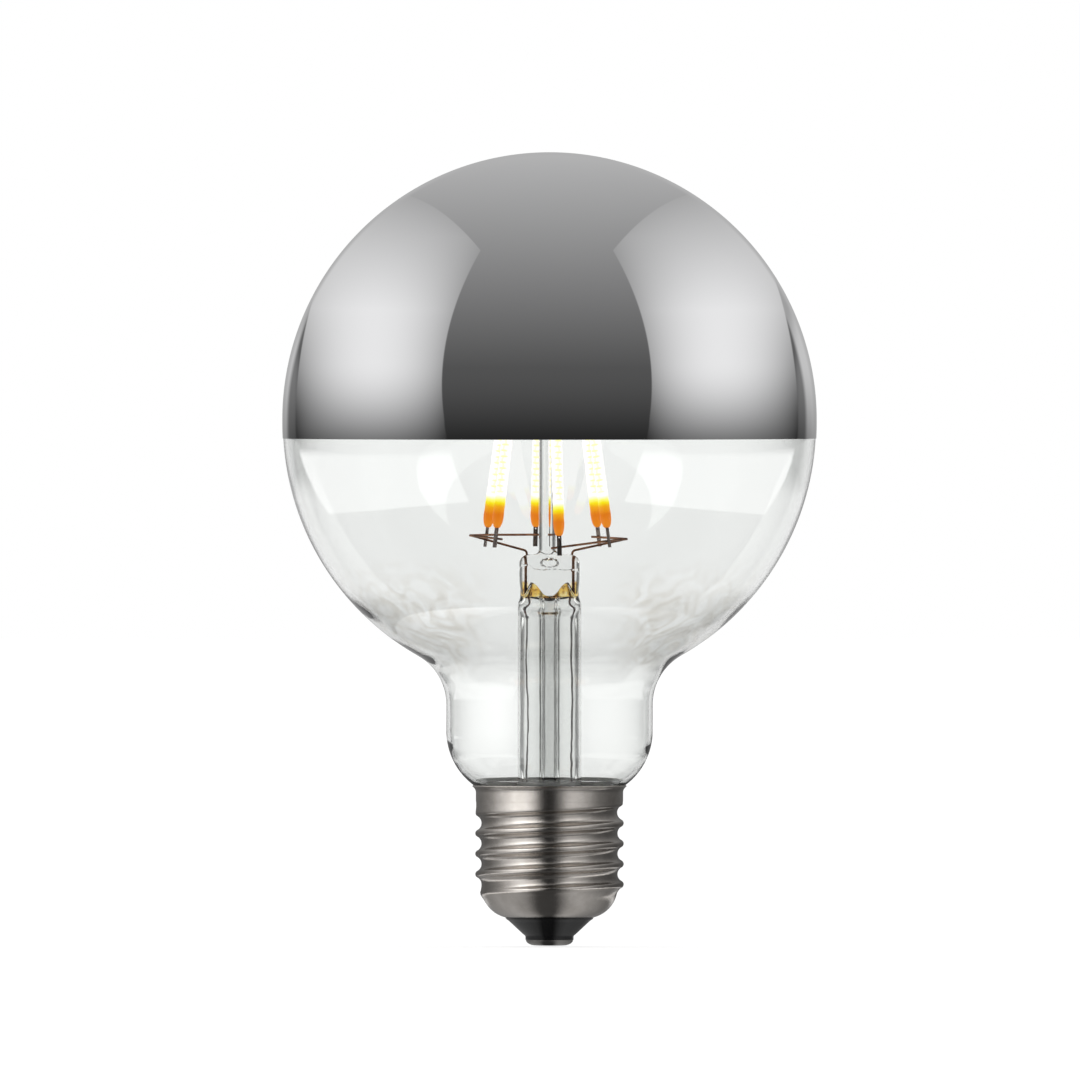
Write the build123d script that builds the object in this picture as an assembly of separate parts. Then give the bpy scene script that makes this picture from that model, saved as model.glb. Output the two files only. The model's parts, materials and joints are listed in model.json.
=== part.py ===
from build123d import *
import math
import os

# A mirrored-crown globe lamp on a 27 mm screw cap, cap down.
# Lengths are in millimetres and angles in degrees.
# +Z runs up the lamp's axis, from the centre of the contact at its foot.

# Globe and neck
globe_radius = 47.5
globe_band = 0.8
glass_wall = 0.8
neck_radius = 18.35
neck_length = 4.6872
neck_fillet = 10.0
shoulder_radius = 12.0
seal_fillet = 1.0
neck_depth = 5.8

# Mirror over the upper half
mirror_thickness = 0.12
mirror_drop = 2.6

# Screw cap, a rolled sheet shell
sheet = 0.25
shell_foot_z = 5.0
foot_curl = 5.5
curl_end_angle = 76.0
curl_plain_angle = 60.0
thread_pitch = 3.63
thread_crest_radius = 13.2
thread_depth = 1.1
thread_crest_arc = 0.65
first_crest_z = 10.86
thread_start_turn = 0.75
thread_lead_in = 0.65
thread_run_out = 0.5
thread_fade = 0.9
collar_radius = 13.1
collar_step = 0.04
collar_z = 25.6
collar_height = 1.6
rim_flare_radius = 1.2
rim_flare_angle = 62.0
section_step = 0.3
section_points = 20
curl_sections = 12

# Black insulator and the contact under it
contact_height = 1.0
contact_radius = 4.2
contact_flat_radius = 2.4
eyelet_radius = 1.2
eyelet_rise = 0.5
insulator_rim_radius = 4.3
insulator_rim_height = 0.6
insulator_skirt = 0.3
insulator_lock_angle = 50.0

# Stem: flare tube, pinched press, exhaust tube and centre rod
flare_radius = 5.65
flare_wall = 1.0
flare_bend = 4.5
flare_turn = 70.0
pinch_z = 57.6
pinch_height = 4.4
press_height = 7.5
press_width = 10.7
press_thickness = 4.2
press_corner = 1.4
press_top_fillet = 1.0
cavity_depth = 0.6
cavity_width = 8.3
cavity_thickness = 1.6
exhaust_radius = 1.83
exhaust_bore_radius = 0.95
exhaust_tip_z = 17.0
exhaust_seat = 2.5
blow_hole_drop = 1.5
blow_hole_width = 2.1
blow_hole_height = 1.2
blow_channel_radius = 0.66
rod_radius = 1.5
rod_offset = -0.4
rod_seat = 1.0
bead_radius = 1.9

# Leads
lead_spacing = 4.03
lead_radius = 0.2
lead_joint_rise = 3.0
lead_rise = 0.65
lead_bend = 0.7
outer_lead_radius = 0.14
outer_lead_crook = 5.0
outer_lead_seat = 2.0
outer_lead_overlap = 1.5
outer_lead_bend = 1.0
weld_bead_radius = 0.3
weld_bead_rise = 0.9
cross_wire_radius = 0.2
cross_wire_bend = 1.0
cross_wire_end = 1.7
weld_inset = 0.3
right_tip_reach = 14.35
left_tip_reach = 13.9
right_wire_drops = (3.4, 2.35, 2.05, 1.8)
left_wire_drops = (1.4, 1.35, 1.4, 1.9)

# Filaments: three a side, and the same three turned half a turn
filament_bearings = (-80.0, -26.2, 40.9)
filament_circle = 11.837
filament_lean = 8.7
filament_rise = 4.8
front_filament_drop = 1.4
filament_length = 38.0
filament_radius = 1.0
filament_end = 1.6
filament_end_flat = 0.45
tab_width = 0.8
tab_thickness = 0.25
tab_length = 3.5
tab_embed = 1.0
tab_hole_radius = 0.14
weld_depth = 0.05

# Support ring at the top of the rod
ring_wire_radius = 0.25
ring_rise = 1.4

# Driver in the cap
board_width = 15.0
board_height = 9.0
board_thickness = 1.0
board_front_y = 1.9
capacitor_radius = 2.5
capacitor_length = 7.0
capacitor_edge = 0.3
rectifier_size = (4.0, 1.5, 4.6)
rectifier_inset = 3.75
chip_size = (4.9, 1.4, 3.9)
chip_inset = 4.5
chip_rise = 2.0
resistor_radius = 1.1
resistor_length = 5.5
resistor_edge = 0.35
hookup_wire_radius = 0.25
neutral_inset = 1.0
neutral_bend = 0.6

# Clearances
fit_gap = 0.02
seat_gap = 0.1
cement_gap = 0.35
rim_gap = 0.13

# Worked-out places
thread_root_radius = thread_crest_radius - thread_depth
thread_root_arc = (thread_pitch**2 / 4 + thread_depth**2) / (2 * thread_depth) - thread_crest_arc
curl_centre_z = shell_foot_z + foot_curl * math.sin(math.radians(curl_end_angle))
curl_centre_radius = thread_root_radius - foot_curl
rim_foot_z = collar_z + collar_height
glass_radius = globe_radius - mirror_thickness
seal_radius = thread_root_radius - sheet - cement_gap
weld_bead_z = pinch_z + weld_bead_rise
press_foot_z = pinch_z + pinch_height
press_top_z = press_foot_z + press_height
blow_hole_z = press_top_z - blow_hole_drop
lead_joint_z = press_foot_z + lead_joint_rise
filament_foot_z = press_top_z + filament_rise
lean = math.radians(filament_lean)


def polar(centre, radius, angle):
    """The point at a radius and an angle round a centre, in the plane of a half section."""
    a = math.radians(angle)
    return (centre[0] + radius * math.cos(a), centre[1] + radius * math.sin(a))


def bearing(centre, target):
    """The angle of the line from one point to another, from 0 to 360."""
    return math.degrees(math.atan2(target[1] - centre[1], target[0] - centre[0])) % 360


def turned(edges):
    """A solid of revolution from the edges of a closed half section (radius, height)."""
    return revolve(Plane.XZ * make_face(edges), axis=Axis.Z)


def closed(points):
    """The edges of a closed polygon."""
    return Polyline(*points, close=True).edges()


def wire(points, radius, bend):
    """A round wire along straight runs joined by arcs."""
    path = FilletPolyline(*points, radius=bend) if len(points) > 2 else Line(*points)
    return sweep(Plane(origin=path @ 0, z_dir=path % 0) * Circle(radius), path=path)


def upright(radius, foot_z, top_z, x=0.0):
    """A vertical cylinder between two heights."""
    rod = Cylinder(radius, top_z - foot_z, align=(Align.CENTER, Align.CENTER, Align.MIN))
    return Pos(x, 0, foot_z) * rod


# Glass envelope

rim_centre = (collar_radius + rim_flare_radius, rim_foot_z)
rim_inside, rim_z = polar(rim_centre, rim_flare_radius + sheet, 180 - rim_flare_angle)
shoulder_centre_radius = neck_radius - shoulder_radius
shoulder_z = rim_z + math.sqrt(
    shoulder_radius**2 - (rim_inside - rim_gap - shoulder_centre_radius) ** 2
)
shoulder_centre = (shoulder_centre_radius, shoulder_z)
seal_fillet_radius = seal_radius + seal_fillet
seal_fillet_reach = seal_fillet_radius - shoulder_centre_radius
seal_fillet_centre = (
    seal_fillet_radius,
    shoulder_z - math.sqrt((shoulder_radius + seal_fillet) ** 2 - seal_fillet_reach**2),
)
neck_fillet_centre = (neck_radius + neck_fillet, shoulder_z + neck_length)
low_centre_z = neck_fillet_centre[1] + math.sqrt(
    (glass_radius + neck_fillet) ** 2 - (neck_radius + neck_fillet) ** 2
)
high_centre_z = low_centre_z + globe_band
lamp_height = high_centre_z + globe_radius
low_centre = (0, low_centre_z)
high_centre = (0, high_centre_z)
neck_end_z = rim_z - neck_depth


def glass_outline(inset, foot_z):
    """The half section inside the glass's outer face moved inwards: every arc keeps its centre."""
    seal = bearing(seal_fillet_centre, shoulder_centre)
    fillet = bearing(neck_fillet_centre, low_centre)
    return [
        Line((0, foot_z), (seal_radius - inset, foot_z)),
        Line((seal_radius - inset, foot_z), (seal_radius - inset, seal_fillet_centre[1])),
        CenterArc(seal_fillet_centre, seal_fillet + inset, 180, seal - 180),
        CenterArc(shoulder_centre, shoulder_radius - inset, seal - 180, 180 - seal),
        Line((neck_radius - inset, shoulder_z), (neck_radius - inset, neck_fillet_centre[1])),
        CenterArc(neck_fillet_centre, neck_fillet + inset, 180, fillet - 180),
        CenterArc(low_centre, glass_radius - inset, fillet - 180, 180 - fillet),
        Line((glass_radius - inset, low_centre_z), (glass_radius - inset, high_centre_z)),
        CenterArc(high_centre, glass_radius - inset, 0, 90),
        Line((0, high_centre_z + glass_radius - inset), (0, foot_z)),
    ]


def glass_envelope():
    """The blown globe, its neck and the short tube that seals to the stem."""
    hollow = glass_outline(glass_wall, neck_end_z - glass_wall)
    return turned(glass_outline(0, neck_end_z)) - turned(hollow)


def silver_crown():
    """The mirror coat over the globe's outside, down to just under its equator."""
    edge_z = low_centre_z - mirror_drop
    outer_angle = math.degrees(math.asin(mirror_drop / globe_radius))
    inner_angle = math.degrees(math.asin(mirror_drop / glass_radius))
    outer_edge = polar(low_centre, globe_radius, -outer_angle)
    inner_edge = (math.sqrt(glass_radius**2 - mirror_drop**2), edge_z)
    return turned([
        CenterArc(low_centre, globe_radius, -outer_angle, outer_angle),
        Line((globe_radius, low_centre_z), (globe_radius, high_centre_z)),
        CenterArc(high_centre, globe_radius, 0, 90),
        Line((0, lamp_height), (0, lamp_height - mirror_thickness)),
        CenterArc(high_centre, glass_radius, 90, -90),
        Line((glass_radius, high_centre_z), (glass_radius, low_centre_z)),
        CenterArc(low_centre, glass_radius, 0, -inner_angle),
        Line(inner_edge, outer_edge),
    ])


# Screw cap

def ease(t):
    """A smooth step from 0 to 1."""
    t = min(1.0, max(0.0, t))
    return t * t * (3 - 2 * t)


def thread_drop(distance, inset):
    """How far the rolled wave lies inside its crest line, at a distance along the axis from a crest.

    Crest and root are arcs that meet where the wave is steepest. A face moved inwards through the
    sheet keeps both centres, so the crest arc shrinks and the root arc grows.
    """
    d = abs(distance)
    meeting = thread_pitch / 2 * (thread_crest_arc - inset) / (thread_crest_arc + thread_root_arc)
    if d < meeting:
        return thread_crest_arc - math.sqrt((thread_crest_arc - inset) ** 2 - d**2)
    across = thread_pitch / 2 - d
    return thread_depth - thread_root_arc + math.sqrt((thread_root_arc + inset) ** 2 - across**2)


def thread_radius(theta, z, inset):
    """The shell's radius on the single-start right-hand thread.

    The ridge grows out of the plain foot over its first turn, and the last groove fades into
    the collar.
    """
    turn = theta / math.tau
    height = (z - first_crest_z) / thread_pitch
    ridge = round(height - turn)
    groove = math.floor(height - turn)
    last_groove = (collar_z - first_crest_z) / thread_pitch - 0.5
    groove_share = ease((last_groove - groove - turn) / thread_run_out)
    groove_share *= ease((collar_z - z) / thread_fade)
    ridge_share = ease((ridge + turn + thread_start_turn) / thread_lead_in)
    crest = thread_crest_radius - (thread_crest_radius - collar_radius + collar_step) * ease(
        (z - collar_z + thread_pitch) / thread_pitch
    )
    wave = thread_drop((height - turn - ridge) * thread_pitch, inset) - inset
    top = crest - wave * groove_share
    return thread_root_radius + (top - thread_root_radius) * ridge_share - inset


def thread_section(z, inset, curl=0.0):
    """A closed curve round the shell at one height. Below the thread, curl is the turn inwards."""
    foot = (foot_curl - inset) * (1 - math.cos(math.radians(curl)))
    share = 1 - ease(curl / curl_plain_angle)
    points = []
    for i in range(section_points):
        theta = math.tau * i / section_points
        plain = thread_root_radius - inset
        radius = plain + (thread_radius(theta, z, inset) - plain) * share - foot
        points.append((radius * math.cos(theta), radius * math.sin(theta), z))
    return Wire(Edge.make_spline(points, periodic=True))


def thread_face(inset):
    """One side of the threaded sheet, from the edge of its curled foot up to the collar."""
    sections = []
    for i in range(curl_sections):
        curl = curl_end_angle * (1 - i / curl_sections)
        z = curl_centre_z - (foot_curl - inset) * math.sin(math.radians(curl))
        sections.append(thread_section(z, inset, curl))
    steps = math.ceil((collar_z - curl_centre_z) / section_step)
    for i in range(steps + 1):
        z = curl_centre_z + (collar_z - curl_centre_z) * i / steps
        sections.append(thread_section(z, inset))
    return Solid.make_loft(sections).faces().filter_by(GeomType.BSPLINE)[0]


def end_loop(face, top):
    """The closed edge at the top or the foot of a threaded face."""
    loops = [edge for edge in face.edges() if edge.is_closed]
    return Wire([sorted(loops, key=lambda edge: edge.center().Z)[-1 if top else 0]])


def collar_faces():
    """The plain collar and its flared rim, without the flat ring that faces the thread."""
    flare = 180 - rim_flare_angle
    outer_end = polar(rim_centre, rim_flare_radius, flare)
    inner_end = polar(rim_centre, rim_flare_radius + sheet, flare)
    collar = turned([
        Line((collar_radius, collar_z), (collar_radius, rim_foot_z)),
        CenterArc(rim_centre, rim_flare_radius, 180, -rim_flare_angle),
        Line(outer_end, inner_end),
        CenterArc(rim_centre, rim_flare_radius + sheet, flare, rim_flare_angle),
        Line((collar_radius - sheet, rim_foot_z), (collar_radius - sheet, collar_z)),
        Line((collar_radius - sheet, collar_z), (collar_radius, collar_z)),
    ])
    return collar.faces().sort_by(Axis.Z)[1:]


def cap_shell():
    """The rolled screw shell: curled foot, rounded thread, collar and flared rim in one sheet."""
    outside = thread_face(0)
    inside = thread_face(sheet)
    foot = Face.make_surface_from_curves(end_loop(outside, False), end_loop(inside, False))
    seat = Plane.XY.offset(collar_z)
    outer_step = Face(Wire.make_circle(collar_radius, seat), [end_loop(outside, True)])
    inner_step = Face(Wire.make_circle(collar_radius - sheet, seat), [end_loop(inside, True)])
    return Solid(Shell([outside, inside, foot, outer_step, inner_step] + collar_faces()))


def cap_cement():
    """The ring of cement that holds the neck in the collar. Its bore follows the glass's face."""
    thread_inside = thread_root_radius - sheet - seat_gap
    collar_inside = collar_radius - sheet - fit_gap
    foot_z = neck_end_z + seat_gap
    step_z = collar_z + seat_gap
    filled = turned(closed([
        (0, foot_z),
        (thread_inside, foot_z),
        (thread_inside, step_z),
        (collar_inside, step_z),
        (collar_inside, rim_foot_z),
        (0, rim_foot_z),
    ]))
    return filled - turned(glass_outline(-fit_gap, neck_end_z))


insulator_lock = math.radians(insulator_lock_angle)
insulator_top_z = curl_centre_z - (foot_curl - sheet - fit_gap) * math.sin(insulator_lock)


def cap_insulator():
    """The black insulator, moulded inside the curled foot and coned down to the contact."""
    curl = foot_curl - sheet - fit_gap
    shell_throat = curl_centre_radius + (foot_curl - sheet) * math.cos(math.radians(curl_end_angle))
    throat = shell_throat - 2 * fit_gap
    centre = (curl_centre_radius, curl_centre_z)
    neck_z = curl_centre_z - math.sqrt(curl**2 - (throat - curl_centre_radius) ** 2)
    start = bearing(centre, (throat, neck_z))
    lock = 360 - insulator_lock_angle
    lock_point = polar(centre, curl, lock)
    rim_top_z = contact_height + insulator_rim_height
    return turned([
        Line((eyelet_radius + fit_gap, contact_height), (insulator_rim_radius, contact_height)),
        Line((insulator_rim_radius, contact_height), (insulator_rim_radius, rim_top_z)),
        Line((insulator_rim_radius, rim_top_z), (throat, shell_foot_z - insulator_skirt)),
        Line((throat, shell_foot_z - insulator_skirt), (throat, neck_z)),
        CenterArc(centre, curl, start, lock - start),
        Line(lock_point, (eyelet_radius + fit_gap, lock_point[1])),
        Line((eyelet_radius + fit_gap, lock_point[1]), (eyelet_radius + fit_gap, contact_height)),
    ])


def centre_contact():
    """The domed contact with its eyelet, which the live wire runs up through."""
    top_z = insulator_top_z + eyelet_rise
    bore = hookup_wire_radius + fit_gap
    button = [
        Line((0, 0), (contact_flat_radius, 0)),
        EllipticalCenterArc(
            (contact_flat_radius, contact_height),
            contact_radius - contact_flat_radius,
            contact_height,
            270,
        ),
        Line((contact_radius, contact_height), (eyelet_radius, contact_height)),
        Line((eyelet_radius, contact_height), (eyelet_radius, top_z)),
        Line((eyelet_radius, top_z), (0, top_z)),
        Line((0, top_z), (0, 0)),
    ]
    return turned(button) - upright(bore, contact_height, top_z + contact_height)


# Stem

def flare_tube():
    """The flare tube: a straight tube that opens like a trumpet to the neck's inner wall."""
    seal_inside = seal_radius - glass_wall
    turn = 180 + flare_turn
    across = math.radians(flare_turn)
    rim_drop = flare_wall / math.sin(across)
    reach = seal_inside - flare_radius - flare_bend * (1 - math.cos(across))
    bend_z = neck_end_z + rim_drop + reach / math.tan(across) + flare_bend * math.sin(across)
    centre = (flare_radius + flare_bend, bend_z)
    bore = flare_radius - flare_wall
    return turned([
        Line((flare_radius, pinch_z), (flare_radius, bend_z)),
        CenterArc(centre, flare_bend, 180, flare_turn),
        Line(polar(centre, flare_bend, turn), (seal_inside, neck_end_z + rim_drop)),
        Line((seal_inside, neck_end_z + rim_drop), (seal_inside, neck_end_z)),
        Line((seal_inside, neck_end_z), polar(centre, flare_bend + flare_wall, turn)),
        CenterArc(centre, flare_bend + flare_wall, turn, -flare_turn),
        Line((bore, bend_z), (bore, pinch_z)),
        Line((bore, pinch_z), (flare_radius, pinch_z)),
    ])


def pinched(foot_radius, flat_end, top_z):
    """The tube's round end drawn out to a flat shape over the pinch."""
    round_end = Plane.XY.offset(pinch_z) * Circle(foot_radius)
    return loft([round_end, Plane.XY.offset(top_z) * flat_end])


def blow_hole():
    """The channel from the exhaust tube's top to its oval mouth in the press's front face."""
    exhaust_top_z = press_foot_z + exhaust_seat
    channel = upright(blow_channel_radius, exhaust_top_z, blow_hole_z)
    oval = Plane.XZ * Pos(0, blow_hole_z) * Ellipse(blow_hole_width / 2, blow_hole_height / 2)
    return channel + extrude(oval, press_thickness)


def stem_tube():
    """Flare tube and press in one glass, with the leads, exhaust tube and rod sealed into it."""
    flat_end = RectangleRounded(press_width, press_thickness, press_corner)
    press = extrude(Plane.XY.offset(press_foot_z) * flat_end, press_top_z - press_foot_z)
    press = fillet(press.edges().group_by(Axis.Z)[-1], press_top_fillet)
    cavity_end = SlotOverall(cavity_width, cavity_thickness)
    cavity = pinched(flare_radius - flare_wall, cavity_end, press_foot_z - cavity_depth)
    stem = pinched(flare_radius, flat_end, press_foot_z) + press
    stem = flare_tube() + (stem - cavity)
    stem -= upright(exhaust_radius, pinch_z, press_foot_z + exhaust_seat)
    stem -= blow_hole()
    stem -= upright(rod_radius, press_top_z - rod_seat, press_top_z + rod_seat, rod_offset)
    for side in (-1, 1):
        stem -= upright(lead_radius, weld_bead_z, press_top_z + lead_rise / 2, side * lead_spacing)
    return stem


def exhaust_tube():
    """The exhaust tube, open in the press and tipped off to a closed point in the cap."""
    top_z = press_foot_z + exhaust_seat
    tip_centre_z = exhaust_tip_z + exhaust_radius
    return turned([
        CenterArc((0, tip_centre_z), exhaust_radius, 270, 90),
        Line((exhaust_radius, tip_centre_z), (exhaust_radius, top_z)),
        Line((exhaust_radius, top_z), (exhaust_bore_radius, top_z)),
        Line((exhaust_bore_radius, top_z), (exhaust_bore_radius, tip_centre_z)),
        CenterArc((0, tip_centre_z), exhaust_bore_radius, 0, -90),
        Line((0, tip_centre_z - exhaust_bore_radius), (0, exhaust_tip_z)),
    ])


# Leads and cross wires

def filament_radius_at(z):
    """The filaments' distance from the rod's axis at a height: they lean inwards going up."""
    return filament_circle - (z - filament_foot_z) * math.tan(lean)


def outward(bearing_angle):
    """The level direction at a bearing, one unit long."""
    a = math.radians(bearing_angle)
    return Vector(math.cos(a), math.sin(a), 0)


def on_circle(bearing_angle, radius, z):
    """A point at a bearing round the rod's axis, which the filaments stand round."""
    return Vector(rod_offset, 0, z) + outward(bearing_angle) * radius


def wire_point(bearing_angle, drop, wire_radius):
    """Where a cross wire lies against the inner face of a filament's tab."""
    z = filament_foot_z - drop
    return on_circle(bearing_angle, filament_radius_at(z) - tab_thickness / 2 - wire_radius + weld_depth, z)


def cross_wire(half_turn, drops, tip_reach):
    """The bent wire that joins the feet of one side's three filaments to that side's lead."""
    first, second, third = (
        wire_point(angle + half_turn, drop, cross_wire_radius)
        for angle, drop in zip(filament_bearings, (drops[0], drops[1], drops[3]))
    )
    tip = on_circle(half_turn, tip_reach, filament_foot_z - drops[2])
    start = first + (first - second).normalized() * cross_wire_end
    end = third + (third - tip).normalized() * cross_wire_end
    return wire([start, second, tip, end], cross_wire_radius, cross_wire_bend)


def inner_lead(side, drops, tip_reach, joined_wire):
    """The lead from its joint in the press up and out to the cross wire that is welded to it."""
    foot = (side * lead_spacing, 0, lead_joint_z)
    corner = (side * lead_spacing, 0, press_top_z + lead_rise)
    tip = (rod_offset + side * (tip_reach - weld_inset), 0, filament_foot_z - drops[2])
    return wire([foot, corner, tip], lead_radius, lead_bend) - joined_wire


def seal_wire(side, outer):
    """The short sealing wire between the weld bead and the inner lead, fused in the press."""
    return upright(lead_radius, weld_bead_z, lead_joint_z, side * lead_spacing) - outer


def outer_lead(side):
    """The thin lead from the weld bead down through the flare tube to the driver board."""
    x = side * lead_spacing
    face_y = board_front_y - outer_lead_radius
    board_top_z = board_foot_z + board_height
    points = [
        (x, 0, weld_bead_z),
        (x, 0, board_top_z + outer_lead_crook),
        (x, face_y, board_top_z + outer_lead_seat),
        (x, face_y, board_top_z - outer_lead_overlap),
    ]
    lead = wire(points, outer_lead_radius, outer_lead_bend)
    return lead + Pos(x, 0, weld_bead_z) * Sphere(weld_bead_radius)


# Filaments and their support

def filament_plane(bearing_angle, foot_z):
    """The frame of one filament: its Z runs up the filament and its X points outwards."""
    foot = on_circle(bearing_angle, filament_radius_at(foot_z), foot_z)
    out = outward(bearing_angle)
    along = Vector(0, 0, 1) * math.cos(lean) - out * math.sin(lean)
    across = out * math.cos(lean) + Vector(0, 0, 1) * math.sin(lean)
    return Plane(origin=foot, x_dir=across, z_dir=along)


def filament_body():
    """The coated filament, a round bar with egg-shaped ends, standing on its own origin."""
    end_radius = filament_radius - filament_end_flat
    top_z = filament_length - filament_end
    return turned([
        Line((0, filament_length), (0, 0)),
        Line((0, 0), (filament_end_flat, 0)),
        EllipticalCenterArc((filament_end_flat, filament_end), end_radius, filament_end, 270),
        Line((filament_radius, filament_end), (filament_radius, top_z)),
        EllipticalCenterArc((filament_end_flat, top_z), end_radius, filament_end, 0),
        Line((filament_end_flat, filament_length), (0, filament_length)),
    ])


def lower_tab():
    """The metal tab at a filament's foot, with its small locating hole."""
    strip = Pos(0, 0, -tab_length) * Box(
        tab_thickness, tab_width, tab_length + tab_embed, align=(Align.CENTER, Align.CENTER, Align.MIN)
    )
    hole = Pos(0, 0, -tab_hole_radius * 2) * Rot(0, 90, 0) * Cylinder(tab_hole_radius, tab_thickness * 2)
    return strip - hole


def upper_tab():
    """The plain metal tab at a filament's top."""
    return Pos(0, 0, filament_length - tab_embed) * Box(
        tab_thickness, tab_width, tab_length + tab_embed, align=(Align.CENTER, Align.CENTER, Align.MIN)
    )


ring_z = filament_foot_z + filament_length * math.cos(lean) + ring_rise
ring_radius = filament_radius_at(ring_z) - tab_thickness / 2 - ring_wire_radius + weld_depth
top_wire_z = ring_z - 2 * ring_wire_radius + weld_depth


def top_ring():
    """The wire ring that the filaments' upper tabs are welded round."""
    return Pos(rod_offset, 0, ring_z) * Torus(ring_radius, ring_wire_radius)


def top_cross_wire():
    """The wire through the rod's bead that carries the ring."""
    bar = Pos(rod_offset, 0, top_wire_z) * Rot(0, 90, 0) * Cylinder(ring_wire_radius, 2 * ring_radius)
    return bar - top_ring()


def centre_rod():
    """The glass rod sealed into the press, with a bead at its top round the cross wire."""
    rod = upright(rod_radius, press_top_z - rod_seat, top_wire_z, rod_offset)
    return rod + Pos(rod_offset, 0, top_wire_z) * Sphere(bead_radius) - top_cross_wire()


# Driver

board_foot_z = insulator_top_z + seat_gap


def driver_board():
    """The upright circuit board that stands on the insulator."""
    return Pos(0, board_front_y, board_foot_z) * Box(
        board_width, board_thickness, board_height, align=(Align.CENTER, Align.MIN, Align.MIN)
    )


def on_board(x, height, size):
    """A block-shaped component flat against the back of the board."""
    back_y = board_front_y + board_thickness
    return Pos(x, back_y, board_foot_z + height) * Box(*size, align=(Align.CENTER, Align.MIN, Align.MIN))


def smoothing_capacitor():
    """The round capacitor lying across the board's front."""
    y = board_front_y - capacitor_radius - hookup_wire_radius
    can = Cylinder(capacitor_radius, capacitor_length)
    can = fillet(can.edges(), capacitor_edge)
    return Pos(0, y, board_foot_z + board_height - capacitor_radius) * Rot(0, 90, 0) * can


def fuse_resistor():
    """The fusible resistor upright at the board's side."""
    x = board_width / 2 - resistor_radius - seat_gap
    y = board_front_y - resistor_radius
    body = fillet(Cylinder(resistor_radius, resistor_length).edges(), resistor_edge)
    return Pos(x, y, board_foot_z + resistor_length / 2 + seat_gap) * body


def live_wire():
    """The wire from the contact's eyelet to the board."""
    turn_z = insulator_top_z + eyelet_rise + 4 * hookup_wire_radius
    return wire(
        [(0, 0, contact_height), (0, 0, turn_z), (0, board_front_y, turn_z)],
        hookup_wire_radius,
        2 * hookup_wire_radius,
    )


def neutral_wire():
    """The wire from the board out to the inside of the screw shell, at a root of the thread."""
    root_z = first_crest_z + thread_pitch
    root_inside = thread_root_radius - sheet - fit_gap
    x = neutral_inset - board_width / 2
    y = board_front_y - 4 * hookup_wire_radius
    end_x = -math.sqrt(root_inside**2 - y**2)
    points = [(x, board_front_y, root_z), (x, y, root_z), (end_x, y, root_z)]
    return wire(points, hookup_wire_radius, neutral_bend)


# All pieces

pieces = {
    "glass_envelope": glass_envelope(),
    "silver_crown": silver_crown(),
    "cap_shell": cap_shell(),
    "cap_cement": cap_cement(),
    "cap_insulator": cap_insulator(),
    "centre_contact": centre_contact(),
    "stem_tube": stem_tube(),
    "exhaust_tube": exhaust_tube(),
    "centre_rod": centre_rod(),
    "top_ring": top_ring(),
    "top_cross_wire": top_cross_wire(),
    "driver_board": driver_board(),
    "bridge_rectifier": on_board(rectifier_inset - board_width / 2, chip_rise, rectifier_size),
    "driver_chip": on_board(board_width / 2 - chip_inset, chip_rise, chip_size),
    "smoothing_capacitor": smoothing_capacitor(),
    "fuse_resistor": fuse_resistor(),
    "live_wire": live_wire(),
    "neutral_wire": neutral_wire(),
}

sides = (
    ("right", 1, 0.0, right_wire_drops, right_tip_reach),
    ("left", -1, 180.0, left_wire_drops, left_tip_reach),
)
number = 0
for name, side, half_turn, drops, tip_reach in sides:
    joined = cross_wire(half_turn, drops, tip_reach)
    outer = outer_lead(side)
    pieces[f"cross_wire_{name}"] = joined
    pieces[f"inner_lead_{name}"] = inner_lead(side, drops, tip_reach, joined)
    pieces[f"outer_lead_{name}"] = outer
    pieces[f"seal_wire_{name}"] = seal_wire(side, outer)
    for angle in filament_bearings:
        number += 1
        front = side > 0 and angle == filament_bearings[0]
        plane = filament_plane(angle + half_turn, filament_foot_z - (front_filament_drop if front else 0))
        low, high = plane * lower_tab(), plane * upper_tab()
        pieces[f"filament_{number}"] = plane * filament_body() - low - high
        pieces[f"lower_tab_{number}"] = low - joined
        pieces[f"upper_tab_{number}"] = high - pieces["top_ring"]

os.makedirs("parts", exist_ok=True)
for name, piece in pieces.items():
    export_step(piece, f"parts/{name}.step")
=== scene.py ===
import json
import math

import bpy
import numpy as np
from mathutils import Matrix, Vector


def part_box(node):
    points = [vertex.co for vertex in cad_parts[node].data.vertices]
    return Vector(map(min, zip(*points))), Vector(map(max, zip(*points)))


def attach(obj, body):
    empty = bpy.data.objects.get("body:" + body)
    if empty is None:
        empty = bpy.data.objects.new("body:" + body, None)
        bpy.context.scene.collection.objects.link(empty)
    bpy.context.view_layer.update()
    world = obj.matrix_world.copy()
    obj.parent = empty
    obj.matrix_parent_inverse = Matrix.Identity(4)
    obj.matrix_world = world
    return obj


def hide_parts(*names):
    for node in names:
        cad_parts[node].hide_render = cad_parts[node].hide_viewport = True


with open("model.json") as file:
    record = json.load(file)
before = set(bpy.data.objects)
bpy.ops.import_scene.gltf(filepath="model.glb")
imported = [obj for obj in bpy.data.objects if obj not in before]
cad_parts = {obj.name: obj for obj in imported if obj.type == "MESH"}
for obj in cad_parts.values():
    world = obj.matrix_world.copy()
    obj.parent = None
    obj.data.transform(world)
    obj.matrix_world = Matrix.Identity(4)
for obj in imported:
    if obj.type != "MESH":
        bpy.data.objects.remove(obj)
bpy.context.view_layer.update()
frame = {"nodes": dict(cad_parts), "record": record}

# A mirrored-crown globe lamp on a screw cap. Lengths are in millimetres. The meshes, and the places
# that materials read, are in metres.
mm = 0.001

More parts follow.
